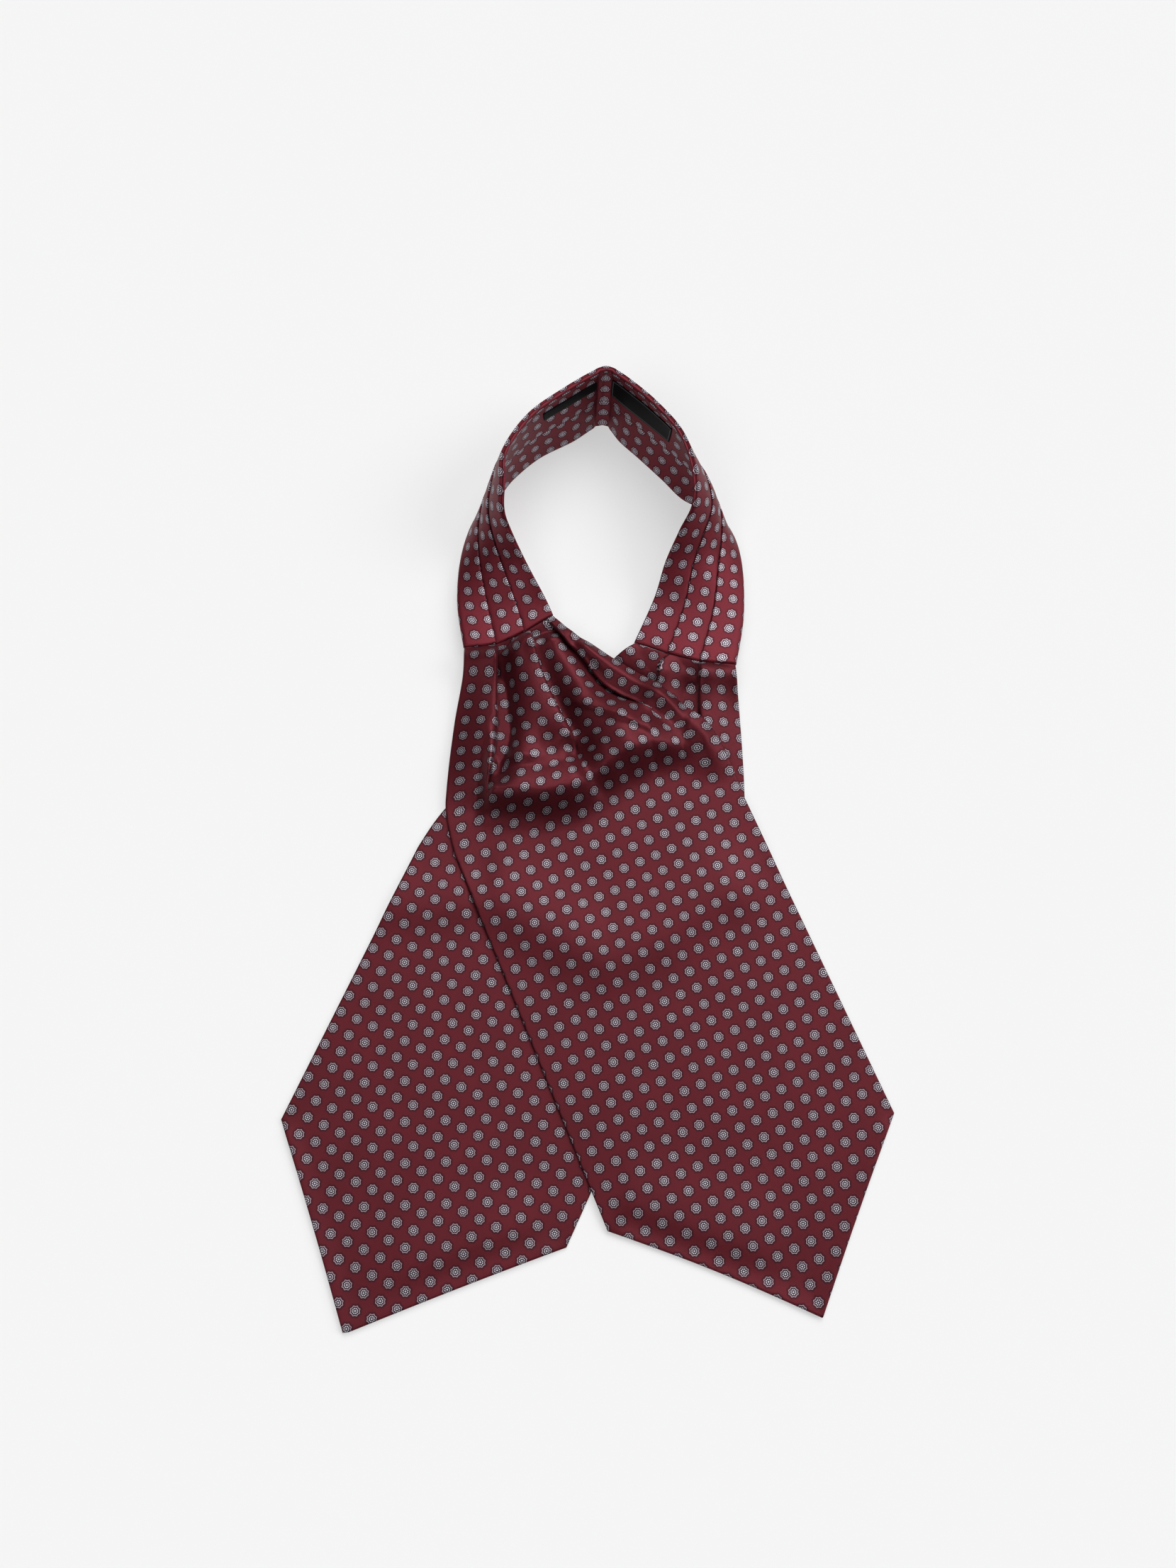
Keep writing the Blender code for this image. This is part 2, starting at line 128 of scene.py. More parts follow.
neckband = {
    # inner face, from the left seam round the back to the right seam: how far the middle
    # bulges outwards, the shoulder edge and the chin edge
    "sections": (
        (0.0, (-68.6, 100.0, 4.2), (-19.4, 119.6, 5.2)),
        (0.4, (-72.6, 127.0, 2.2), (-24.4, 130.4, 8.6)),
        (1.0, (-71.2, 152.0, 0.8), (-34.2, 146.4, 18.0)),
        (2.0, (-65.4, 173.0, 0.0), (-42.6, 160.4, 29.5)),
        (4.0, (-56.6, 188.5, 0.0), (-46.2, 168.6, 39.0)),
        (5.0, (-49.0, 198.0, 0.0), (-45.8, 183.0, 44.5)),
        (3.2, (-41.6, 208.0, 0.0), (-45.0, 200.6, 45.6)),
        (1.0, (-27.4, 221.0, 0.0), (-31.8, 223.0, 45.0)),
        (0.0, (-8.4, 231.8, 0.0), (-12.4, 239.8, 44.0)),
        (0.0, (5.0, 241.4, 0.0), (6.6, 252.2, 43.8)),
        (0.0, (10.8, 241.4, 0.0), (13.0, 252.6, 43.8)),
        (0.0, (18.0, 231.6, 0.0), (24.0, 244.4, 44.0)),
        (1.0, (29.2, 220.4, 0.0), (38.0, 230.0, 45.0)),
        (4.0, (42.0, 207.0, 0.0), (50.6, 212.4, 45.6)),
        (8.2, (53.6, 194.4, 0.0), (57.0, 192.0, 44.5)),
        (6.4, (69.0, 185.4, 0.0), (57.6, 172.6, 39.0)),
        (3.4, (80.8, 170.4, 0.0), (50.6, 160.6, 29.0)),
        (1.4, (86.0, 150.0, 0.8), (43.0, 146.8, 18.0)),
        (0.4, (86.4, 119.6, 2.2), (36.8, 128.8, 8.6)),
        (0.0, (81.4, 89.8, 4.2), (25.6, 103.0, 5.2)),
    ),
    "leftSag": 5.4,
    "rightSag": 3.2,
    "wall": 4.4,
    "step": 0.9,
    "groove": 0.6,  # how far each strip dips beside the fold edge over it
    "pleats": (0.32, 0.64),
    "lapHalf": 0.021,  # half of how far each fold edge lies over the next strip, as a share
    "printRows": (0.32, 0.475, 0.80),  # where a row of rosettes lies on each strip
    # the middle of each part of the section: three strips outside, two halves inside
    "partLines": ((0.16, 3.0), (0.48, 3.0), (0.80, 3.0), (0.70, 0.0), (0.25, 0.0)),
    "stations": 420,
    "creases": (0.474, 0.527),  # the two pressed folds at the centre back
    "creaseDepth": 0.9,
    "creaseWidth": 1.3,
}


def stationValue(values, step):
    values = np.asarray(values, float)
    step = np.clip(step, 0.0, len(values) - 1.0)
    i = np.minimum(step.astype(int), len(values) - 2)
    t = step - i
    if values.ndim > 1:
        t = t[..., None]
    a = values[np.maximum(i - 1, 0)]
    d = values[np.minimum(i + 2, len(values) - 1)]
    return curvePoint(a, values[i], values[i + 1], d, t)


def bandFrame(fraction):
    shoulders = [s[1] for s in neckband["sections"]]
    chins = [s[2] for s in neckband["sections"]]
    step = np.asarray(fraction, float) * (len(shoulders) - 1)
    shoulder, chin = stationValue(shoulders, step), stationValue(chins, step)
    forward = np.zeros_like(shoulder)
    for points in (shoulders, chins):
        forward += stationValue(points, step + 0.05) - stationValue(points, step - 0.05)
    outward = np.cross(chin - shoulder, forward)
    outward /= np.linalg.norm(outward, axis=-1, keepdims=True)
    forward /= np.linalg.norm(forward, axis=-1, keepdims=True)
    return shoulder, chin, outward, forward


def bandPoint(fraction, across, height):
    # a place on or over the neckband's inner face; height is towards its outer face
    fraction, across, height = np.broadcast_arrays(
        np.asarray(fraction, float), np.asarray(across, float), np.asarray(height, float))
    shoulder, chin, outward, forward = bandFrame(fraction)
    bulges = [s[0] for s in neckband["sections"]]
    arch = np.sin(math.pi * np.clip(across, 0.0, 1.0))
    bulge = stationValue(bulges, fraction * (len(bulges) - 1)) * arch
    point = shoulder + (chin - shoulder) * across[..., None] + outward * (height + bulge)[..., None]
    nearLeft = smooth(1.0 - fraction * 9.0) * neckband["leftSag"]
    nearRight = smooth(1.0 - (1.0 - fraction) * 9.0) * neckband["rightSag"]
    sag = (nearRight - nearLeft) * arch * (1.4 - across)
    point = point + forward * sag[..., None]
    point[..., 2] = np.maximum(point[..., 2], 0.0)
    return point


def pleatHeight(across):
    first, second = neckband["pleats"]
    under = (across >= first).astype(float) + (across >= second)
    return neckband["wall"] - neckband["step"] * under


# blade values: guides run from the neckband to the line where the cloth lies flat, each
# with its share across the neckband's end; the strips between them are pleats near the neckband

frontBlade = {
    "name": "frontBladeSilk",
    "node": "front_blade",
    "bandEnd": 0.0,
    "guides": (
        (0.0, ((-68.7, 100.2), (-68.8, 85.0), (-73.2, 55.8), (-76.3, 19.9), (-76.2, 4.0), (-71.2, -17.7))),
        (0.32, ((-51.1, 101.0), (-51.5, 79.9), (-51.1, 47.6), (-53.6, 26.4), (-53.0, 8.0), (-49.6, -13.1))),
        (0.64, ((-34.4, 111.2), (-27.1, 85.0), (-18.0, 63.7), (-8.6, 43.6), (-1.6, 24.0), (6.3, -1.2))),
        (0.95, ((-21.0, 118.6), (-13.1, 106.5), (-2.1, 94.7), (9.9, 79.1), (24.6, 67.9), (38.0, 58.5),
                (54.0, 38.0), (67.2, 11.8))),
        (1.0, ((-19.1, 119.8), (-10.6, 110.5), (4.0, 100.2), (13.6, 93.0), (33.3, 80.4), (52.9, 64.9),
               (67.0, 52.5), (76.0, 37.3), (83.9, 15.4))),
    ),
    "end": ((9.7, -211.8), (114.9, -253.0), (155.7, -153.7)),  # left corner, tip, right corner
    "endBow": (1.6, 0.5),
    "stripColumns": (20, 42, 44, 18),
    "drapeRows": 150,
    "flatRows": 62,
    # the cloth that shows at the neckband, strip by strip, from the blade's middle line
    "seamPrint": (-70.3, -18.3, 33.6, 78.0),
    "anchors": ("left", "middle", "middle", "right"),
    "lapHalf": (1.8, 1.8, 2.0),  # half of how far each fold edge lies over the next strip
    "lapDrop": (10.0, 9.0, 4.5),  # and how far that strip dips under it
    "lapOver": (1, 1, -1),  # -1 where the strip nearer the neck lies on top
    "lapEnds": (0.84, 0.76, 0.56),  # share of the drape where it has opened
    "motifAt": (25.0, -133.1),
    "printTurn": 23.1,
    "settle": (0.5, 0.82),  # shares of the drape between which the strips' prints join
    "folds": (
        # the lift at the neckband, then the three strips' raised sides
        (6.5, 13.0, 13.0, 0.0, 0.0, ((-69.0, 100.0), (-51.0, 101.0), (-19.0, 119.0))),
        (7.8, 5.0, 19.0, 0.0, 0.35, ((-51.5, 100.0), (-52.0, 80.0), (-51.6, 48.0), (-54.0, 26.0), (-56.0, 4.0))),
        (5.0, 13.0, 6.5, 0.0, 0.1, ((-40.0, 102.0), (-38.0, 80.0), (-37.0, 54.0), (-38.0, 28.0))),
        (9.0, 7.0, 16.0, 0.0, 0.2, ((-35.0, 110.0), (-28.0, 86.0), (-19.5, 64.0), (-11.0, 45.0), (-6.0, 34.0))),
        (5.4, 13.0, 14.0, 0.0, 0.3, ((-14.0, 102.0), (2.0, 82.0), (20.0, 62.0), (34.0, 50.0))),
        (5.5, 13.0, 6.5, 0.12, 0.4, ((-22.0, 112.0), (-15.0, 88.0), (-6.0, 67.0), (4.0, 48.0), (11.0, 32.0))),
        # the pouf that hangs over the flat part, the second fold's trough that runs on across
        # it, and a short step
        (16.0, 25.0, 10.0, 0.08, 0.4, ((-60.0, 17.0), (-42.0, 15.0), (-24.0, 14.0), (-10.0, 17.0), (3.0, 25.0),
                                     (16.0, 35.0), (33.0, 43.0), (52.0, 43.0), (68.0, 38.0))),
        (-5.0, 8.0, 5.5, 0.25, 0.35, ((-11.0, 47.0), (-3.6, 32.0), (4.0, 21.0), (15.0, 13.0))),
        (2.6, 10.0, 2.4, 0.15, 0.3, ((-14.1, 71.0), (0.2, 63.0), (9.8, 59.0), (27.1, 51.5), (42.5, 45.0))),
        (3.0, 20.0, 8.0, 0.25, 0.3, ((12.0, 34.0), (33.0, 43.0), (52.0, 43.0), (66.0, 38.0))),
        # the first fold's trough, kept open beside the pouf
        (-6.0, 6.0, 3.5, 0.25, 0.25, ((-47.5, 62.0), (-47.0, 45.0), (-48.0, 30.0), (-50.0, 14.0))),
        # low swells where the cloth lies flat, and its lifted lower edge
        (2.4, 24.0, 15.0, 0.1, 0.15, ((-66.0, -32.0), (-28.0, -56.0), (10.0, -75.0), (37.0, -63.0), (64.0, -42.0),
                                      (97.0, -25.0))),
        (1.3, 22.0, 7.0, 0.1, 0.3, ((12.0, -195.0), (60.0, -213.0), (104.0, -228.0))),
        (0.9, 6.0, 6.0, 0.05, 0.05, ((9.7, -211.8), (114.9, -253.0), (155.7, -153.7))),
        # the rolled neck edge, and the low cloth beside it
        (5.0, 6.0, 5.0, 0.08, 0.5, ((-8.0, 104.0), (13.0, 86.5), (28.0, 76.5), (46.0, 63.5), (62.0, 46.0),
                                    (76.0, 22.0))),
        (-2.0, 3.0, 7.0, 0.1, 0.6, ((-16.0, 109.0), (-3.0, 94.0), (9.0, 78.6), (23.0, 68.0), (37.0, 59.6),
                                    (52.0, 50.0))),
    ),
}

underBlade = {
    "name": "underBladeSilk",
    "node": "under_blade",
    "bandEnd": 1.0,
    "guides": (
        (0.0, ((81.4, 89.6), (82.9, 68.2), (84.0, 44.6), (84.6, 20.5), (84.2, -14.0))),
        (0.32, ((63.0, 92.6), (62.5, 82.0), (62.4, 64.0), (64.0, 30.0), (54.0, -13.8))),
        (0.64, ((41.6, 95.1), (39.6, 87.9), (38.0, 76.0), (12.0, 38.0), (-44.0, -13.0))),
        (1.0, ((25.6, 103.0), (12.0, 92.8), (-12.0, 72.0), (-45.0, 40.0), (-75.0, 11.0), (-91.0, -13.0))),
    ),
    "end": ((-10.7, -219.6), (-119.5, -260.6), (-155.9, -156.9)),
    "endBow": (0.5, 0.5),
    "stripColumns": (26, 30, 40),
    "drapeRows": 120,
    "flatRows": 62,
    "seamPrint": (-70.3, -18.3, 33.6),
    "anchors": ("left", "middle", "right"),
    "lapHalf": (1.8, 1.8),
    "lapDrop": (8.5, 7.0),
    "lapOver": (1, 1),
    "lapEnds": (0.8, 0.6),
    "motifAt": (-97.4, -146.0),
    "printTurn": -24.4,
    "settle": (0.5, 0.82),
    "folds": (
        (7.0, 13.0, 13.0, 0.0, 0.0, ((81.0, 90.0), (63.0, 92.6), (27.0, 103.0))),
        (5.6, 12.0, 8.0, 0.0, 0.4, ((63.6, 91.0), (63.0, 78.0), (63.0, 62.0), (65.0, 40.0), (66.0, 20.0))),
        (5.0, 10.0, 8.0, 0.0, 0.4, ((42.4, 95.0), (40.4, 84.0), (39.6, 70.0), (37.0, 56.0))),
        (1.8, 20.0, 12.0, 0.0, 0.3, ((-106.0, -45.0), (-87.0, -46.0), (-50.0, -42.0))),
        (1.3, 22.0, 7.0, 0.3, 0.3, ((-112.0, -238.0), (-60.0, -219.0), (-18.0, -203.0))),
        (0.9, 6.0, 6.0, 0.05, 0.05, ((-155.9, -156.9), (-119.5, -260.6), (-10.7, -219.6))),
    ),
}

bladeCloth = {
    "wall": 1.6,
    "seamWall": 4.0,
    "wallReach": 20.0,
    "edgeRound": 0.95,
    "restGap": 0.4,
    "seamGap": 0.3,
    "seamDrop": 0.7,  # how far a blade starts below the neckband's outer face
    "endBlend": 0.12,
    "coverMargin": 1.5,
    "coverFall": 30.0,
    "openWidth": 7.0,  # the cloth that a fold's columns cover where the fold has opened
    "dipWidth": 9.0,
}

# one fold edge over the next strip, seen along it: sideways in half laps, down in drops, and
# the share of the hidden cloth that has gone by
lapShape = (
    (0.90, -0.08, 0.00), (1.04, -0.26, 0.00), (1.05, -0.42, 0.01), (0.92, -0.56, 0.03), (0.45, -0.61, 0.20),
    (-0.25, -0.64, 0.50), (-0.85, -0.68, 0.80), (-1.02, -0.82, 0.93), (-0.92, -0.95, 0.98), (-0.55, -1.0, 1.0),
)


def lapPlace(values, fold, lap):
    # a column's place in a fold's lap, turned over where the far strip lies on top
    if values["lapOver"][fold - 1] > 0:
        return lapShape[lap]
    aside, down, hidden = lapShape[-1 - lap]
    return -aside, down, 1.0 - hidden


def plainPlace(across):
    # the nearest place between two rows of rosettes
    spacing = silkLook["spacing"] / mm
    return (np.floor(across / spacing) + 0.5) * spacing


def columnsOf(values):
    # strip number, share across it, and the place in lapShape, or -1 on a strip
    strips, shares, laps = [], [], []
    last = len(values["stripColumns"]) - 1
    for strip, count in enumerate(values["stripColumns"]):
        start, stop = 0.0, 1.0
        edge = (0.0, 0.005, 0.014, 0.03, 0.055)
        inner = np.linspace(start, stop, count + 1)
        if strip == 0:
            inner = np.concatenate((edge, np.linspace(0.09, 1.0, count)))
        if strip == last:
            inner = np.concatenate((np.linspace(0.0, 0.91, count), 1.0 - np.array(edge[::-1])))
        strips += [strip] * len(inner)
        shares += list(inner)
        laps += [-1] * len(inner)
        if strip < last:
            strips += [strip] * len(lapShape)
            shares += [1.0] * len(lapShape)
            laps += list(range(len(lapShape)))
    return np.array(strips), np.array(shares), np.array(laps)


def wallAt(x, y, values):
    distance, _ = beside(x, y, values["folds"][0][5])
    cloth = bladeCloth
    return cloth["wall"] + (cloth["seamWall"] - cloth["wall"]) * np.exp(-((distance / cloth["wallReach"]) ** 2))


def foldHeight(x, y, values):
    return np.maximum(0.0, relief(x, y, values["folds"]))


def onTable(x, y):
    return np.zeros(np.shape(x))


def onUnderBlade(x, y):
    # the height at which the front blade clears the under blade
    neckEdge = list(underBlade["guides"][-1][1]) + [underBlade["end"][2]]
    farEdge = list(underBlade["guides"][0][1]) + [underBlade["end"][0]]
    inside = np.minimum(beside(x, y, neckEdge)[0], -beside(x, y, farEdge)[0])
    share = smooth(1.0 + (inside + bladeCloth["coverMargin"]) / bladeCloth["coverFall"])
    top = foldHeight(x, y, underBlade) + wallAt(x, y, underBlade)
    return share * (top + bladeCloth["restGap"])


def unit(vectors):
    return vectors / np.maximum(1e-9, np.linalg.norm(vectors, axis=-1, keepdims=True))


def bladeSurface(values, below):
    # the upper and lower faces of a blade and its print, as arrays of rows by columns
    strips, shares, laps = columnsOf(values)
    guides = [np.array(points) for _, points in values["guides"]]
    starts = np.array([start for start, _ in values["guides"]])
    drape = np.linspace(0.0, 1.0, values["drapeRows"] + 1)
    flat = np.linspace(0.0, 1.0, values["flatRows"] + 1)[1:]
    flat = np.concatenate((flat[:-1], (0.9935, 0.9975, 0.9992, 1.0)))

    leftKnee, rightKnee = guides[0][-1], guides[-1][-1]
    kneeLine = rightKnee - leftKnee
    corners = np.array(values["end"])

    def endPoint(across):
        left = corners[0] + (corners[1] - corners[0]) * (2.0 * across)[..., None]
        right = corners[1] + (corners[2] - corners[1]) * (2.0 * across - 1.0)[..., None]
        point = np.where((across < 0.5)[..., None], left, right)
        for i, bow in enumerate(values["endBow"]):
            side = corners[i + 1] - corners[i]
            normal = np.array((-side[1], side[0])) / math.hypot(*side)
            inward = normal if np.dot(normal, leftKnee - corners[i]) > 0 else -normal
            share = np.clip(2.0 * across - i, 0.0, 1.0)
            point = point + inward * (bow * np.sin(math.pi * share))[..., None]
        return point

    guideAcross = [float(np.dot(g[-1] - leftKnee, kneeLine) / np.dot(kneeLine, kneeLine)) for g in guides]
    lines = []
    for g, across in zip(guides, guideAcross):
        target = endPoint(np.array(across))
        lines.append(along(g, drape, after=g[-1] + unit(target - g[-1]) * 18.0))
    lines = np.array(lines)  # guide, row, xy
    # where each guide meets the neckband's end
    seam = bandPoint(values["bandEnd"], starts, 0.0)
    pull = (1.0 - smooth(drape / 0.05))[None, :, None]
    lines = lines + (seam[:, None, :2] - (0.0, bladeCloth["seamGap"]) - lines[:, :1]) * pull

    rows, columns = len(drape), len(strips)
    base = np.zeros((rows, columns, 2))
    lift = np.zeros((rows, columns))
    acrossEnd = np.zeros(columns)
    lapped = [1.0 - smooth((drape / end - 0.72) / 0.28) for end in values["lapEnds"]]
    lapped = [lap * smooth(0.5 + drape / 0.04) for lap in lapped]

    def foldSide(fold):
        return unit(lines[fold + 1] - lines[fold - 1])

    def foldSpot(fold, sideways):
        # sideways is per row, in mm, from the fold's line
        return lines[fold] + foldSide(fold) * sideways[:, None]

    count = len(guides) - 1
    spread = 0.5 * (1.0 + (bladeCloth["openWidth"] - 1.0) * smooth((drape - 0.45) / 0.5))
    for column in range(columns):
        strip, share, lap = strips[column], shares[column], laps[column]
        if lap >= 0:
            fold = strip + 1
            amount, half, drop = lapped[fold - 1], values["lapHalf"][fold - 1], values["lapDrop"][fold - 1]
            opened = (2.0 * (lap + 0.5) / len(lapShape) - 1.0) * spread
            aside, down, _ = lapPlace(values, fold, lap)
            base[:, column] = foldSpot(fold, amount * half * aside + (1.0 - amount) * opened)
            lift[:, column] = amount * drop * down
            acrossEnd[column] = starts[fold]
            continue
        left, right = lines[strip], lines[strip + 1]
        if strip > 0:
            amount, half = lapped[strip - 1], values["lapHalf"][strip - 1]
            tuck = -0.1 if values["lapOver"][strip - 1] > 0 else -0.6
            left = foldSpot(strip, amount * half * tuck + (1.0 - amount) * spread)
        if strip < count - 1:
            amount, half = lapped[strip], values["lapHalf"][strip]
            tuck = 0.6 if values["lapOver"][strip] > 0 else 0.1
            right = foldSpot(strip + 1, amount * half * tuck - (1.0 - amount) * spread)
        base[:, column] = left + (right - left) * share
        acrossEnd[column] = starts[strip] + (starts[strip + 1] - starts[strip]) * share

    # the strip that goes under a fold edge dips to meet it
    for fold in range(1, count):
        amount, drop = lapped[fold - 1], values["lapDrop"][fold - 1]
        dipping = fold if values["lapOver"][fold - 1] > 0 else fold - 1
        here = np.where((strips == dipping) & (laps < 0))[0]
        distance = np.linalg.norm(base[:, here] - lines[fold][:, None], axis=2)
        lift[:, here] -= (amount * drop)[:, None] * np.exp(-((distance / bladeCloth["dipWidth"]) ** 1.5))

    x, y = base[..., 0], base[..., 1]
    bottom = below(x, y) + foldHeight(x, y, values)
    wall = wallAt(x, y, values)
    blend = smooth(drape / bladeCloth["endBlend"])[:, None]
    seamZ = bandPoint(values["bandEnd"], acrossEnd, 0.0)[:, 2]
    bottom = seamZ + (bottom - seamZ) * blend
    startWall = pleatHeight(acrossEnd) - bladeCloth["seamDrop"]
    wall = startWall + (wall - startWall) * blend
    ground = below(x, y)
    ground = seamZ + (ground - seamZ) * blend
    height = np.maximum(bottom + wall + lift * smooth(drape / 0.05)[:, None], ground + wall)
    top = np.dstack((base, height))
    under = np.dstack((base, np.minimum(bottom, np.maximum(ground, height - wall))))
    for fold in range(1, count):
        # underneath, a fold's columns keep apart
        here = np.where((strips == fold - 1) & (laps >= 0))[0]
        for k, column in enumerate(here):
            share = (k + 1.0) / (len(here) + 1.0)
            ends = base[:, here[0] - 1], base[:, here[-1] + 1]
            middle = ends[0] + (ends[1] - ends[0]) * share
            under[:, column, :2] = middle

    # the flat part
    knee = base[-1]
    across = np.clip((knee - leftKnee) @ kneeLine / np.dot(kneeLine, kneeLine), 0.0, 1.0)
    target = endPoint(across)
    flatPlan = knee + (target - knee) * flat[:, None, None]
    fx, fy = flatPlan[..., 0], flatPlan[..., 1]
    flatBottom = below(fx, fy) + foldHeight(fx, fy, values)
    flatWall = wallAt(fx, fy, values)
    top = np.concatenate((top, np.dstack((flatPlan, flatBottom + flatWall))))
    under = np.concatenate((under, np.dstack((flatPlan, flatBottom))))

    uv = bladePrint(values, top, strips, laps, lapped, rows)

    # rounded edges: both faces come together there
    edge = np.minimum(np.linalg.norm(top[..., :2] - top[:, :1, :2], axis=2),
                      np.linalg.norm(top[..., :2] - top[:, -1:, :2], axis=2))
    tipEdge = np.full(top.shape[:2], 1e9)
    for a, b in zip(corners, corners[1:]):
        distance, _ = beside(top[rows:, :, 0], top[rows:, :, 1], (a, b))
        tipEdge[rows:] = np.minimum(tipEdge[rows:], np.abs(distance))
    tipEdge = np.maximum(0.0, tipEdge)
    lastRow = np.linalg.norm(top[..., :2] - top[-1:, :, :2], axis=2)
    edge = np.minimum(edge, lastRow)
    reach = bladeCloth["edgeRound"]
    near = np.clip(edge / reach, 0.0, 1.0)
    thick = np.sqrt(np.clip(1.0 - (1.0 - near) ** 2, 0.004, 1.0))
    body = top[..., 2] - under[..., 2]
    low = under[..., 2] + 0.42 * body * (1.0 - thick)
    high = top[..., 2] - 0.58 * body * (1.0 - thick)
    top[..., 2], under[..., 2] = high, low
    return top, under, uv


def bladePrint(values, top, strips, laps, lapped, rows):
    # cloth coordinates in mm: across and up the blade, rosettes at each whole spacing
    turn = math.radians(values["printTurn"])
    acrossWay = np.array((math.cos(turn), math.sin(turn)))
    upWay = np.array((-math.sin(turn), math.cos(turn)))
    place = top[..., :2] - values["motifAt"]
    across, up = place @ acrossWay, place @ upWay
    flip = 1.0 if values["bandEnd"] == 0.0 else -1.0
    middle = 0.5 * (across[rows - 1, 0] + across[rows - 1, -1])
    # above the knee each column keeps its place across, and goes up by its own length
    steps = np.linalg.norm(np.diff(top[:rows], axis=0), axis=2)
    for column in range(1, len(strips)):
        if laps[column] >= 0:
            steps[:, column] = steps[:, column - 1]
    across[:rows] = across[rows - 1]
    up[: rows - 1] = up[rows - 1] + np.cumsum(steps[::-1], axis=0)[::-1]
    # higher up each strip is measured from one of its own columns
    share = np.linspace(0.0, 1.0, rows)
    settle = smooth((share - values["settle"][0]) / (values["settle"][1] - values["settle"][0]))
    for strip in range(strips.max() + 1):
        here = np.where((strips == strip) & (laps < 0))[0]
        part = top[:rows, here]
        anchor = {"left": 0, "middle": len(here) // 2, "right": len(here) - 1}[values["anchors"][strip]]
        reach = np.arange(rows)
        way = part[np.minimum(reach + 5, rows - 1), anchor] - part[np.maximum(reach - 5, 0), anchor]
        way[:, 2] = 0.0
        way = unit(way)
        run = np.diff(part, axis=1)
        leaning = np.sum(run * way[:, None], axis=2)
        length = np.sqrt(np.maximum(0.0, np.sum(run**2, axis=2) - leaning**2))
        none = np.zeros((rows, 1))
        width = np.concatenate((none, np.cumsum(length, axis=1)), axis=1)
        lean = np.concatenate((none, np.cumsum(leaning, axis=1)), axis=1)
        start = flip * (across[0, here[anchor]] - middle)
        if values["anchors"][strip] == "middle":
            start = start + (values["seamPrint"][strip] - start) * (1.0 - smooth(share * 1.25))
        placed = middle + flip * (start + width.T - width[:, anchor]).T
        risen = (up[:rows, here[anchor]] - lean.T + lean[:, anchor]).T
        across[:rows, here] = placed + (across[:rows, here] - placed) * settle[:, None]
        up[:rows, here] = risen + (up[:rows, here] - risen) * settle[:, None]
    for strip in range(strips.max()):
        here = np.where((strips == strip) & (laps >= 0))[0]
        hidden = np.array([lapPlace(values, strip + 1, lap)[2] for lap in range(len(here))])
        even = (np.arange(len(here)) + 1.0) / (len(here) + 1.0)
        amount = lapped[strip][:, None]
        gone = hidden * amount + even * (1.0 - amount)
        for part in (across, up):
            before, after = part[:rows, here[0] - 1], part[:rows, here[-1] + 1]
            part[:rows, here] = before[:, None] + (after - before)[:, None] * gone
        tucked = here[(hidden > 0.05) & (hidden < 0.97)]
        across[:rows, tucked] += (plainPlace(across[:rows, tucked]) - across[:rows, tucked]) * amount
    return np.dstack((across, up))


def placeMesh(name, mesh, points):
    # points in drawn mm go to the mesh in metres, faces turned outwards
    mesh.vertices.foreach_set("co", ((points + drawnShift) * mm).astype(np.float32).ravel())
    mesh.update()
    work = bmesh.new()
    work.from_mesh(mesh)
    if work.calc_volume(signed=True) < 0.0:
        bmesh.ops.reverse_faces(work, faces=work.faces)
    work.to_mesh(mesh)
    work.free()
    mesh.shade_smooth()
    thing = bpy.data.objects.new(name, mesh)
    bpy.context.scene.collection.objects.link(thing)
    return thing


def setPrint(mesh, perVertex):
    # the cloth's own coordinates, in metres, on the layer "cloth"
    layer = mesh.uv_layers.new(name="cloth")
    corners = np.empty(len(mesh.loops), dtype=np.int32)
    mesh.loops.foreach_get("vertex_index", corners)
    layer.data.foreach_set("uv", (perVertex[corners] * mm).astype(np.float32).ravel())


def slabFromGrid(name, top, under, uv):
    # a grid with its extruded underside, moved to the cloth's two faces
    rows, columns = top.shape[:2]
    work = bmesh.new()
    bmesh.ops.create_grid(work, x_segments=columns - 1, y_segments=rows - 1, size=0.5)
    made = bmesh.ops.extrude_face_region(work, geom=list(work.faces), use_keep_orig=True)
    raised = [item for item in made["geom"] if isinstance(item, bmesh.types.BMVert)]
    bmesh.ops.translate(work, vec=(0.0, 0.0, 1.0), verts=raised)
    mesh = bpy.data.meshes.new(name)
    work.to_mesh(mesh)
    work.free()
    grid = np.empty(len(mesh.vertices) * 3, dtype=np.float32)
    mesh.vertices.foreach_get("co", grid)
    grid = grid.reshape(-1, 3)
    column = np.rint((grid[:, 0] + 0.5) * (columns - 1)).astype(int)
    row = np.rint((0.5 - grid[:, 1]) * (rows - 1)).astype(int)
    points = np.where((grid[:, 2] > 0.5)[:, None], top[row, column], under[row, column])
    setPrint(mesh, uv[row, column])
    return placeMesh(name, mesh, points)


def buildBlade(values, below):
    top, under, uv = bladeSurface(values, below)
    blade = slabFromGrid(values["name"], top, under, uv)
    print(values["name"], "made,", len(blade.data.polygons), "faces")
    return blade


# neckband

# its section: share across from the shoulder edge, height over the inner face, and the
# print's place across in mm; the strips lap on the outer face and the edges are layered
bandWidth = 51.0


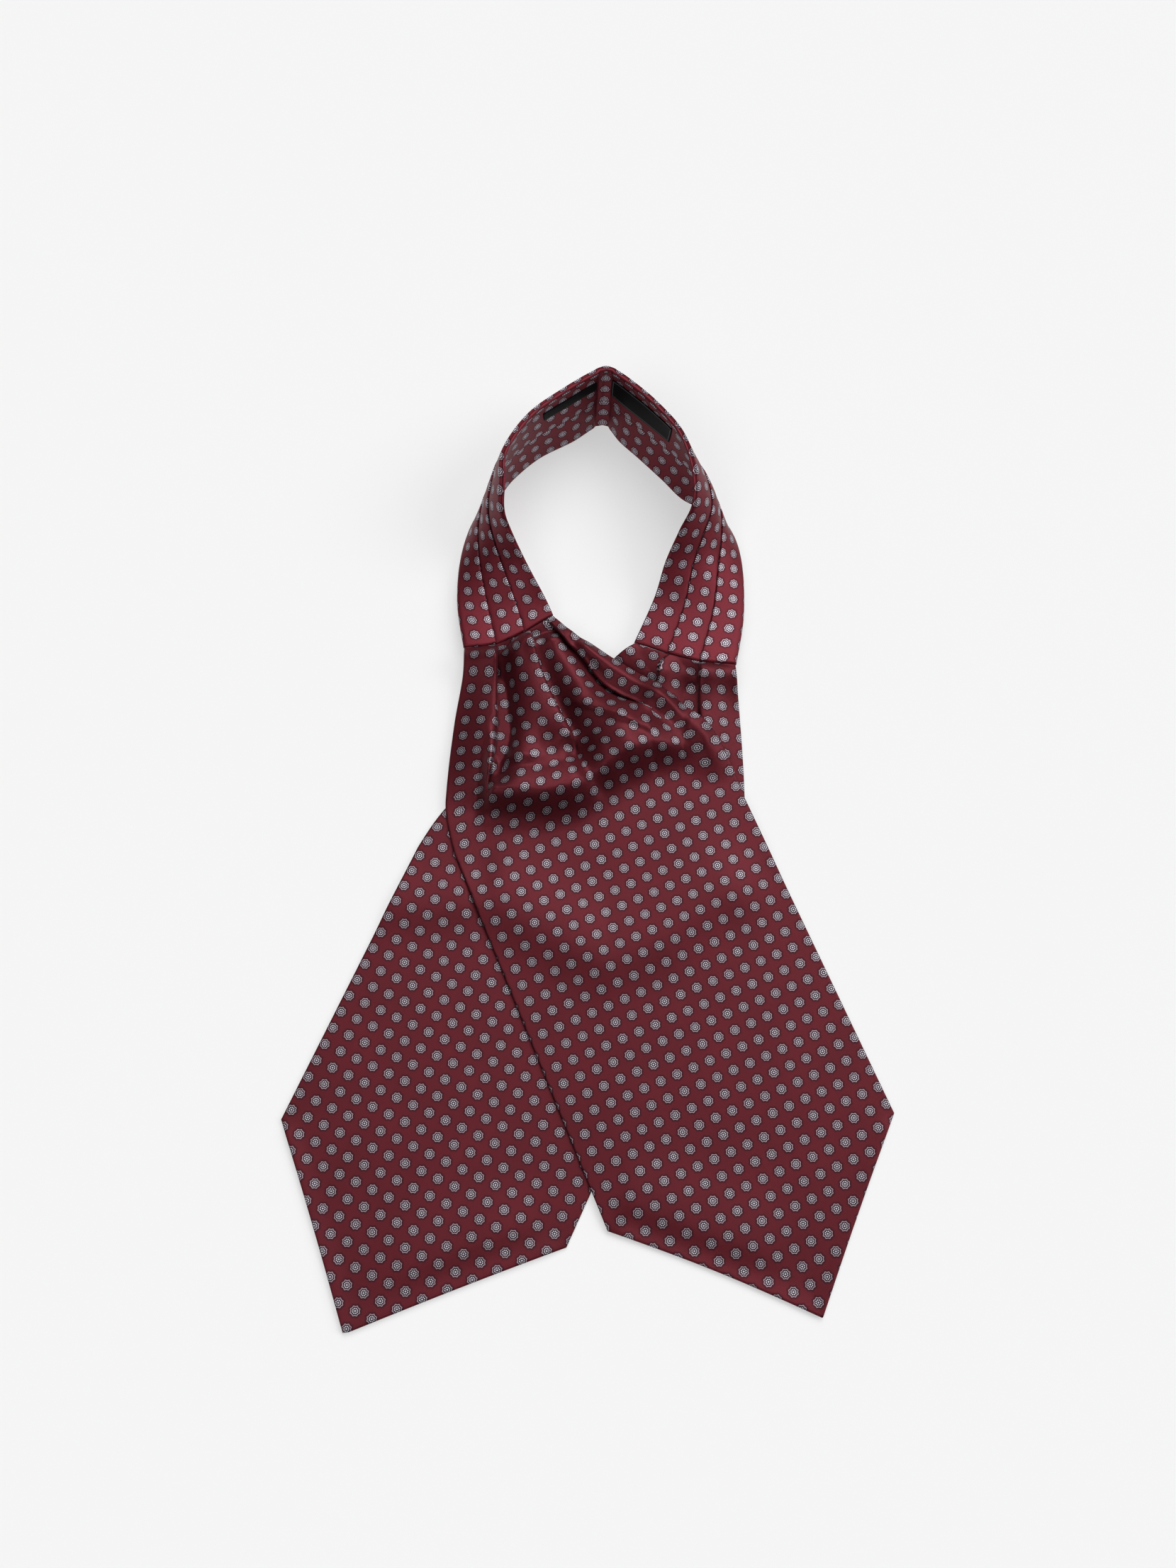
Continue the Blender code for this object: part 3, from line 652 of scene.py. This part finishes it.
def bandProfile():
    wall, step, groove = neckband["wall"], neckband["step"], neckband["groove"]
    first, second = neckband["pleats"]
    outerRow, middleRow, innerRow = neckband["printRows"]
    half = neckband["lapHalf"]
    low = wall - 2.0 * step
    points = []

    def strip(part, start, stop, height, crown, count, row, tuck=0.0):
        for t in np.linspace(0.0, 1.0, count):
            across = start + (stop - start) * t
            rise = crown * math.sin(math.pi * t) - tuck * math.exp(-((across - start) * bandWidth / 1.6) ** 2)
            points.append((across, height + rise, (across - row) * bandWidth, part))

    def lap(part, at, height, rowBefore, rowAfter):
        before, after = (at - rowBefore) * bandWidth, (at - rowAfter) * bandWidth
        for sideways, down, gone in lapShape:
            place = before + (after - before) * gone
            if gone < 0.05:
                place = before + half * sideways * bandWidth
            elif gone < 0.97:
                place = float(plainPlace(place))
            points.append((at + half * sideways, height + (step + groove) * down, place,
                           part if gone < 0.5 else part + 1))

    def layer(part, steps, row):
        for across, height in steps:
            points.append((across, height, (across - row) * bandWidth, part))

    for across, height in ((0.0, 0.9), (-0.004, 1.7), (-0.005, 2.6), (0.0, 3.4), (0.012, 4.0), (0.03, 4.3)):
        points.append((across, height, (across - outerRow) * bandWidth - (wall - height) * 0.6, 0))
    strip(0, 0.05, first + 0.012, wall, 0.35, 12, outerRow)
    lap(0, first, wall, outerRow, middleRow)
    strip(1, first - 0.002, second + 0.012, wall - step, 0.4, 22, middleRow, groove)
    lap(1, second, wall - step, middleRow, innerRow)
    strip(2, second - 0.002, 0.982, low, 0.3, 22, innerRow, groove)
    edge = ((0.992, 0.1), (0.999, 0.35), (1.0, 0.6), (0.996, 0.8), (0.986, 0.86), (0.990, 0.95), (0.994, 1.2),
            (0.990, 1.5), (0.980, 1.58), (0.990, 1.66), (0.999, 1.9), (1.001, 2.3), (0.999, 2.9), (0.994, 3.3),
            (0.984, 3.5))
    for across, drop in edge:
        points.append((across, low - drop, (0.985 - innerRow) * bandWidth + drop, 2))
    # two layers turned over the chin edge, each with its own end
    strip(2, 0.975, 0.950, -0.9, -0.1, 4, 0.785)
    layer(2, ((0.943, -0.82), (0.940, -0.62), (0.946, -0.48), (0.938, -0.44)), 0.86)
    strip(3, 0.930, 0.912, -0.45, -0.05, 4, 0.86)
    layer(3, ((0.906, -0.36), (0.903, -0.12), (0.909, 0.02), (0.901, 0.04)), 0.66)
    strip(3, 0.89, 0.50, 0.0, 0.0, 16, 0.66)
    # the slip-stitched join along the middle of the inner face
    layer(3, ((0.488, 0.0), (0.480, 0.05), (0.475, 0.3), (0.479, 0.5), (0.468, 0.5), (0.455, 0.42)), 0.66)
    strip(4, 0.44, 0.04, 0.35, 0.0, 16, 0.25)
    layer(4, ((0.02, 0.4), (0.008, 0.6)), 0.25)
    return np.array(points)


def buildNeckband():
    profile = bandProfile()
    stations = np.linspace(0.0, 1.0, neckband["stations"] + 1)
    across, height, printAcross, parts = profile.T
    fraction = stations[:, None]
    # pressed creases at the centre back draw the band outwards in a narrow groove
    middle = bandPoint(stations, 0.5, 0.0)
    steps = np.concatenate(([0.0], np.cumsum(np.linalg.norm(np.diff(middle, axis=0), axis=1))))
    dent = np.zeros(len(stations))
    for crease in neckband["creases"]:
        away = steps - np.interp(crease, stations, steps)
        dent += neckband["creaseDepth"] * np.exp(-((away / neckband["creaseWidth"]) ** 2))
    heights = height[None] + dent[:, None] * np.where(height[None] < 1.5, 0.8, 0.3)
    # the ends are turned in and rounded
    endRound = np.minimum(steps, steps[-1] - steps)
    shrink = np.sqrt(np.clip(1.0 - (1.0 - np.clip(endRound / 1.0, 0.0, 1.0)) ** 2, 0.0, 1.0))[:, None]
    heights = 1.9 + (heights - 1.9) * (0.35 + 0.65 * shrink)
    points = bandPoint(fraction, across[None], heights)
    # print along the band: each part of the section by the length of its own middle
    lengths = np.zeros((len(stations), len(profile)))
    for part, (centre, depth) in enumerate(neckband["partLines"]):
        line = bandPoint(stations, centre, depth)
        run = np.concatenate(([0.0], np.cumsum(np.linalg.norm(np.diff(line, axis=0), axis=1))))
        run -= np.interp(0.5, stations, run)
        lengths[:, parts == part] = run[:, None]
    uv = np.dstack((np.broadcast_to(printAcross[None], lengths.shape), lengths))

    # the strip of the section closes on itself
    rows, columns = len(stations), len(profile) + 1
    closed = np.concatenate((points, points[:, :1]), axis=1)
    lastPrint = uv[:, -1:] + (-0.4, 0.0)
    uv = np.concatenate((uv, lastPrint), axis=1)
    work = bmesh.new()
    bmesh.ops.create_grid(work, x_segments=columns - 1, y_segments=rows - 1, size=0.5)
    mesh = bpy.data.meshes.new("neckbandSilk")
    work.to_mesh(mesh)
    work.free()
    grid = np.empty(len(mesh.vertices) * 3, dtype=np.float32)
    mesh.vertices.foreach_get("co", grid)
    grid = grid.reshape(-1, 3)
    column = np.rint((grid[:, 0] + 0.5) * (columns - 1)).astype(int)
    row = np.rint((0.5 - grid[:, 1]) * (rows - 1)).astype(int)
    setPrint(mesh, uv[row, column])
    mesh.vertices.foreach_set("co", closed[row, column].astype(np.float32).ravel())
    work = bmesh.new()
    work.from_mesh(mesh)
    bmesh.ops.remove_doubles(work, verts=work.verts, dist=0.0001)
    ends = [edge for edge in work.edges if edge.is_boundary]
    bmesh.ops.holes_fill(work, edges=ends, sides=0)
    bmesh.ops.recalc_face_normals(work, faces=work.faces)
    work.to_mesh(mesh)
    work.free()
    points = np.empty(len(mesh.vertices) * 3, dtype=np.float32)
    mesh.vertices.foreach_get("co", points)
    band = placeMesh("neckbandSilk", mesh, points.reshape(-1, 3).astype(float))
    print("neckbandSilk made,", len(band.data.polygons), "faces")
    return band


# labels

labelValues = (
    {"name": "narrowLabel", "node": "label_narrow", "start": 0.386, "stop": 0.468, "low": 0.70, "high": 0.83,
     "columns": 60, "rows": 10},
    {"name": "wideLabel", "node": "label_wide", "start": 0.534, "stop": 0.668, "low": 0.60, "high": 0.86,
     "columns": 90, "rows": 16},
)


def buildLabel(values):
    fraction = np.linspace(values["start"], values["stop"], values["columns"] + 1)[None, :]
    across = np.linspace(values["low"], values["high"], values["rows"] + 1)[:, None]
    u = np.linspace(0.0, 1.0, values["columns"] + 1)[None, :]
    v = np.linspace(0.0, 1.0, values["rows"] + 1)[:, None]
    puff = np.sin(math.pi * np.clip(v, 0, 1)) * 0.12 + 0.0 * u
    low = bandPoint(fraction, across, -0.05 - puff)
    high = bandPoint(fraction, across, -0.40 - puff)
    length = np.linalg.norm(np.diff(low[values["rows"] // 2], axis=0), axis=1)
    run = np.concatenate(([0.0], np.cumsum(length)))[None, :] + 0.0 * v
    rise = (across - values["low"]) * bandWidth + 0.0 * u
    label = slabFromGrid(values["name"], high[::-1], low[::-1], np.dstack((run, rise))[::-1])
    values["length"], values["width"] = float(run[0, -1]), float(rise[-1, 0])
    print(values["name"], "made")
    return label


# materials

def setValue(tree, value, socket):
    if isinstance(value, bpy.types.NodeSocket):
        tree.links.new(value, socket)
    else:
        socket.default_value = value


def math3(tree, operation, first, second=0.0, third=0.0):
    node = tree.nodes.new("ShaderNodeMath")
    node.operation = operation
    for socket, value in zip(node.inputs, (first, second, third)):
        setValue(tree, value, socket)
    return node.outputs[0]


def ramp(tree, value, fromLow, fromHigh, toLow=0.0, toHigh=1.0):
    node = tree.nodes.new("ShaderNodeMapRange")
    node.interpolation_type = "SMOOTHSTEP"
    for name, item in (("Value", value), ("From Min", fromLow), ("From Max", fromHigh),
                       ("To Min", toLow), ("To Max", toHigh)):
        setValue(tree, item, node.inputs[name])
    return node.outputs["Result"]


def mixColour(tree, factor, first, second, blend="MIX"):
    node = tree.nodes.new("ShaderNodeMix")
    node.data_type = "RGBA"
    node.blend_type = blend
    setValue(tree, factor, node.inputs[0])
    for socket, value in ((node.inputs[6], first), (node.inputs[7], second)):
        setValue(tree, (*value, 1.0) if isinstance(value, tuple) else value, socket)
    return node.outputs[2]


def newGroup(name, inputs, outputs):
    group = bpy.data.node_groups.new(name, "ShaderNodeTree")
    for label, kind, default in inputs:
        socket = group.interface.new_socket(name=label, in_out="INPUT", socket_type=kind)
        if default is not None:
            socket.default_value = default
    for label, kind in outputs:
        group.interface.new_socket(name=label, in_out="OUTPUT", socket_type=kind)
    return group, group.nodes.new("NodeGroupInput"), group.nodes.new("NodeGroupOutput")


def makeRosetteGroup():
    # masks for one small rosette in each cell of a square repeat
    group, inside, out = newGroup(
        "rosettePrint",
        (("Cloth", "NodeSocketVector", None), ("Spacing", "NodeSocketFloat", silkLook["spacing"]),
         ("Radius", "NodeSocketFloat", silkLook["rosette"]), ("Lobes", "NodeSocketFloat", silkLook["lobes"]),
         ("Outline", "NodeSocketFloat", silkLook["outline"]), ("Dot ring", "NodeSocketFloat", silkLook["dotRing"]),
         ("Dot", "NodeSocketFloat", silkLook["dot"]), ("Centre", "NodeSocketFloat", silkLook["centre"])),
        (("Halo", "NodeSocketFloat"), ("Field", "NodeSocketFloat"), ("Line", "NodeSocketFloat"),
         ("Dots", "NodeSocketFloat")),
    )
    spacing, radius = inside.outputs["Spacing"], inside.outputs["Radius"]
    split = group.nodes.new("ShaderNodeSeparateXYZ")
    group.links.new(inside.outputs["Cloth"], split.inputs[0])
    half = math3(group, "MULTIPLY", spacing, 0.5)
    x = math3(group, "SUBTRACT", math3(group, "FLOORED_MODULO", math3(group, "ADD", split.outputs[0], half), spacing), half)
    y = math3(group, "SUBTRACT", math3(group, "FLOORED_MODULO", math3(group, "ADD", split.outputs[1], half), spacing), half)
    squared = math3(group, "MULTIPLY_ADD", x, x, math3(group, "MULTIPLY", y, y))
    distance = math3(group, "SQRT", squared)
    angle = math3(group, "ARCTAN2", y, x)
    # eight points: sharp from the sine, rounded by the cosine
    pointed = math3(group, "ABSOLUTE", math3(group, "SINE", math3(group, "MULTIPLY", angle, 4.0)))
    round8 = math3(group, "COSINE", math3(group, "MULTIPLY", angle, 8.0))
    wave = math3(group, "MULTIPLY_ADD", round8, 0.5, math3(group, "SUBTRACT", 0.5, pointed))
    edge = math3(group, "MULTIPLY_ADD", math3(group, "MULTIPLY", wave, inside.outputs["Lobes"]), radius, radius)
    fromEdge = math3(group, "SUBTRACT", distance, edge)
    soft = 0.00010
    halfWidth = math3(group, "MULTIPLY", inside.outputs["Outline"], 0.5)
    line = math3(group, "SUBTRACT", math3(group, "ABSOLUTE", fromEdge), halfWidth)
    line = ramp(group, line, -soft, soft, 1.0, 0.0)
    field = ramp(group, fromEdge, -soft, soft, 1.0, 0.0)
    halo = ramp(group, fromEdge, 0.0004, 0.0017, 1.0, 0.0)
    # eight dots in a ring: the angle is folded to one of them
    eighth = math.pi / 4.0
    folded = math3(group, "SUBTRACT", math3(group, "FLOORED_MODULO", math3(group, "ADD", angle, eighth / 2), eighth), eighth / 2)
    ring = inside.outputs["Dot ring"]
    cosine = math3(group, "MULTIPLY", math3(group, "MULTIPLY", distance, ring), math3(group, "COSINE", folded))
    toDot = math3(group, "MULTIPLY_ADD", ring, ring, math3(group, "MULTIPLY_ADD", cosine, -2.0, squared))
    toDot = math3(group, "SQRT", math3(group, "MAXIMUM", toDot, 0.0))
    dots = ramp(group, math3(group, "SUBTRACT", toDot, inside.outputs["Dot"]), -soft, soft, 1.0, 0.0)
    centre = ramp(group, math3(group, "SUBTRACT", distance, inside.outputs["Centre"]), -soft, soft, 1.0, 0.0)
    dots = math3(group, "MAXIMUM", dots, centre)
    for name, value in (("Halo", halo), ("Field", field), ("Line", line), ("Dots", dots)):
        group.links.new(value, out.inputs[name])
    return group


def makeTwillGroup():
    # the weave as a height and a shade; cut on the bias, its lines run straight across a blade
    group, inside, out = newGroup(
        "silkTwill",
        (("Cloth", "NodeSocketVector", None), ("Spacing", "NodeSocketFloat", silkLook["twill"]),
         ("Lean", "NodeSocketFloat", 0.06)),
        (("Height", "NodeSocketFloat"), ("Shade", "NodeSocketFloat")),
    )
    split = group.nodes.new("ShaderNodeSeparateXYZ")
    group.links.new(inside.outputs["Cloth"], split.inputs[0])
    noise = group.nodes.new("ShaderNodeTexNoise")
    noise.inputs["Scale"].default_value = 900.0
    noise.inputs["Detail"].default_value = 2.0
    group.links.new(inside.outputs["Cloth"], noise.inputs["Vector"])
    rise = math3(group, "MULTIPLY_ADD", split.outputs[0], inside.outputs["Lean"], split.outputs[1])
    phase = math3(group, "DIVIDE", rise, inside.outputs["Spacing"])
    phase = math3(group, "MULTIPLY_ADD", noise.outputs["Fac"], 0.5, phase)
    wave = math3(group, "SINE", math3(group, "MULTIPLY", phase, 2.0 * math.pi))
    height = math3(group, "MULTIPLY_ADD", wave, 0.5, 0.5)
    group.links.new(height, out.inputs["Height"])
    large = group.nodes.new("ShaderNodeTexNoise")
    large.inputs["Scale"].default_value = 34.0
    large.inputs["Detail"].default_value = 3.0
    group.links.new(inside.outputs["Cloth"], large.inputs["Vector"])
    shade = math3(group, "MULTIPLY_ADD", height, 0.35, math3(group, "MULTIPLY", large.outputs["Fac"], 0.65))
    group.links.new(shade, out.inputs["Shade"])
    return group


def placeGroup(tree, group, cloth, **values):
    node = tree.nodes.new("ShaderNodeGroup")
    node.node_tree = group
    tree.links.new(cloth, node.inputs["Cloth"])
    for name, value in values.items():
        node.inputs[name].default_value = value
    return node


def newMaterial(name):
    material = bpy.data.materials.new(name)
    material.use_nodes = True
    tree = material.node_tree
    return material, tree, tree.nodes["Principled BSDF"]


def clothCoordinates(tree):
    node = tree.nodes.new("ShaderNodeUVMap")
    node.uv_map = "cloth"
    return node.outputs[0]


def makePrintedSilk(name, rosette, twill, paintedSheenScale=1.0):
    material, tree, shader = newMaterial(name)
    # every colour is scaled by this factor; above 1 it lightens the silk as painted sheen
    tint = {part: tuple(c * paintedSheenScale for c in silkLook[part])
            for part in ("ground", "groundShade", "halo", "field", "line", "white")}
    cloth = clothCoordinates(tree)
    motif = placeGroup(tree, rosette, cloth)
    weave = placeGroup(tree, twill, cloth)
    ground = mixColour(tree, weave.outputs["Shade"], tint["groundShade"], tint["ground"])
    colour = mixColour(tree, math3(tree, "MULTIPLY", motif.outputs["Halo"], 0.85), ground, tint["halo"])
    colour = mixColour(tree, motif.outputs["Field"], colour, tint["field"])
    colour = mixColour(tree, motif.outputs["Line"], colour, tint["line"])
    colour = mixColour(tree, motif.outputs["Dots"], colour, tint["white"])
    tree.links.new(colour, shader.inputs["Base Color"])
    rough = math3(tree, "MULTIPLY_ADD", weave.outputs["Shade"], 0.10, silkLook["roughness"])
    tree.links.new(rough, shader.inputs["Roughness"])
    shader.inputs["Specular IOR Level"].default_value = 0.18
    shader.inputs["Metallic"].default_value = silkLook["lustre"]
    shader.inputs["Sheen Weight"].default_value = silkLook["sheen"]
    shader.inputs["Sheen Roughness"].default_value = 0.4
    shader.inputs["Sheen Tint"].default_value = (1.0, 0.72, 0.74, 1.0)
    bump = tree.nodes.new("ShaderNodeBump")
    bump.inputs["Distance"].default_value = silkLook["twillDepth"]
    bump.inputs["Strength"].default_value = 0.6
    tree.links.new(weave.outputs["Height"], bump.inputs["Height"])
    tree.links.new(bump.outputs[0], shader.inputs["Normal"])
    return material


def makeLabelSatin(name, twill, size, border):
    # black satin; border is the width of a plain woven edge in mm, or 0
    material, tree, shader = newMaterial(name)
    cloth = clothCoordinates(tree)
    weave = placeGroup(tree, twill, cloth, Spacing=0.0003, Lean=0.0)
    split = tree.nodes.new("ShaderNodeSeparateXYZ")
    tree.links.new(cloth, split.inputs[0])
    black = mixColour(tree, weave.outputs["Shade"], (0.0015, 0.0015, 0.002), (0.005, 0.005, 0.006))
    if border:
        length, width = size
        fromSide = math3(tree, "MINIMUM", split.outputs[0], math3(tree, "SUBTRACT", length * mm, split.outputs[0]))
        fromEnd = math3(tree, "MINIMUM", split.outputs[1], math3(tree, "SUBTRACT", width * mm, split.outputs[1]))
        nearest = math3(tree, "MINIMUM", fromSide, fromEnd)
        away = math3(tree, "ABSOLUTE", math3(tree, "SUBTRACT", nearest, border * mm))
        mask = ramp(tree, away, 0.00015, 0.00035, 1.0, 0.0)
        black = mixColour(tree, mask, black, (0.075, 0.075, 0.080))
    tree.links.new(black, shader.inputs["Base Color"])
    rough = math3(tree, "MULTIPLY_ADD", weave.outputs["Shade"], 0.15, 0.30)
    tree.links.new(rough, shader.inputs["Roughness"])
    shader.inputs["Specular IOR Level"].default_value = 0.06
    bump = tree.nodes.new("ShaderNodeBump")
    bump.inputs["Distance"].default_value = 0.00003
    bump.inputs["Strength"].default_value = 0.5
    tree.links.new(weave.outputs["Height"], bump.inputs["Height"])
    tree.links.new(bump.outputs[0], shader.inputs["Normal"])
    return material


# stage

stageValues = {
    "floor": 3.0,
    "floorDepth": 0.0004,
    "floorColour": (0.41, 0.41, 0.412),
    "floorGlow": 0.485,
    "fill": 0.03,
    "wall": (0.88, 0.88, 0.88),  # what shows past the floor's edge; it gives no light
    "lamps": (
        {"name": "rightLight", "from": (0.80, 0.08, 0.58), "spread": 34.0, "power": 1.35},
        {"name": "backLight", "from": (0.18, 0.60, 0.78), "spread": 48.0, "power": 2.4},
        {"name": "frontLight", "from": (-0.45, -0.45, 0.77), "spread": 34.0, "power": 0.7},
    ),
    "camera": {"at": (0.0001, -0.2558, 0.8511), "tilt": 18.25, "lens": 37.94},
}


def buildStage():
    work = bmesh.new()
    bmesh.ops.create_grid(work, x_segments=4, y_segments=4, size=stageValues["floor"] / 2)
    bmesh.ops.translate(work, vec=(0.0, 0.0, -stageValues["floorDepth"]), verts=work.verts)
    mesh = bpy.data.meshes.new("floor")
    work.to_mesh(mesh)
    work.free()
    floor = bpy.data.objects.new("floor", mesh)
    bpy.context.scene.collection.objects.link(floor)
    material, tree, shader = newMaterial("paperFloor")
    grain = tree.nodes.new("ShaderNodeTexNoise")
    grain.inputs["Scale"].default_value = 6.0
    place = tree.nodes.new("ShaderNodeTexCoord")
    tree.links.new(place.outputs["Object"], grain.inputs["Vector"])
    pale = stageValues["floorColour"]
    colour = mixColour(tree, grain.outputs["Fac"], pale, tuple(c * 0.99 for c in pale))
    tree.links.new(colour, shader.inputs["Base Color"])
    shader.inputs["Roughness"].default_value = 0.9
    shader.inputs["Specular IOR Level"].default_value = 0.1
    shader.inputs["Emission Color"].default_value = (1.0, 1.0, 1.0, 1.0)
    shader.inputs["Emission Strength"].default_value = stageValues["floorGlow"]
    mesh.materials.append(material)

    world = bpy.data.worlds.new("studio")
    world.use_nodes = True
    sky = world.node_tree
    back = sky.nodes["Background"]
    back.inputs["Color"].default_value = (1.0, 1.0, 1.0, 1.0)
    back.inputs["Strength"].default_value = stageValues["fill"]
    wall = sky.nodes.new("ShaderNodeBackground")
    wall.inputs["Color"].default_value = (*stageValues["wall"], 1.0)
    seen = sky.nodes.new("ShaderNodeLightPath")
    pick = sky.nodes.new("ShaderNodeMixShader")
    sky.links.new(seen.outputs["Is Camera Ray"], pick.inputs[0])
    sky.links.new(back.outputs[0], pick.inputs[1])
    sky.links.new(wall.outputs[0], pick.inputs[2])
    sky.links.new(pick.outputs[0], sky.nodes["World Output"].inputs["Surface"])
    bpy.context.scene.world = world

    for lamp in stageValues["lamps"]:
        light = bpy.data.lights.new(lamp["name"], "SUN")
        light.angle = math.radians(lamp["spread"])
        light.energy = lamp["power"]
        thing = bpy.data.objects.new(lamp["name"], light)
        thing.location = lamp["from"]
        thing.rotation_euler = (-Vector(lamp["from"])).to_track_quat("-Z", "Y").to_euler()
        bpy.context.scene.collection.objects.link(thing)

    view = stageValues["camera"]
    lens = bpy.data.cameras.new("camera")
    lens.lens = view["lens"]
    lens.sensor_width = 36.0
    camera = bpy.data.objects.new("camera", lens)
    camera.location = view["at"]
    camera.rotation_euler = (math.radians(view["tilt"]), 0.0, 0.0)
    bpy.context.scene.collection.objects.link(camera)
    bpy.context.scene.camera = camera
    bpy.context.scene.view_settings.view_transform = "Standard"
    print("stage made")


def finishPiece(piece, node, material):
    piece.data.materials.append(material)
    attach(piece, "root")
    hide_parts(node)


buildStage()
rosetteGroup = makeRosetteGroup()
twillGroup = makeTwillGroup()
printedSilk = makePrintedSilk("printedSilk", rosetteGroup, twillGroup)
# the neckband's silk is a lighter copy of the printed silk, its colours lightened as painted sheen
bandSilk = makePrintedSilk("bandSilk", rosetteGroup, twillGroup, silkLook["bandPaintedSheen"])
print("materials made")

band = buildNeckband()
finishPiece(band, "neckband", bandSilk)

lower = buildBlade(underBlade, onTable)
finishPiece(lower, "under_blade", printedSilk)

upper = buildBlade(frontBlade, onUnderBlade)
finishPiece(upper, "front_blade", printedSilk)

for values in labelValues:
    label = buildLabel(values)
    border = 0.9 if values["name"] == "wideLabel" else 0.0
    satin = makeLabelSatin(values["name"] + "Satin", twillGroup, (values["length"], values["width"]), border)
    finishPiece(label, values["node"], satin)
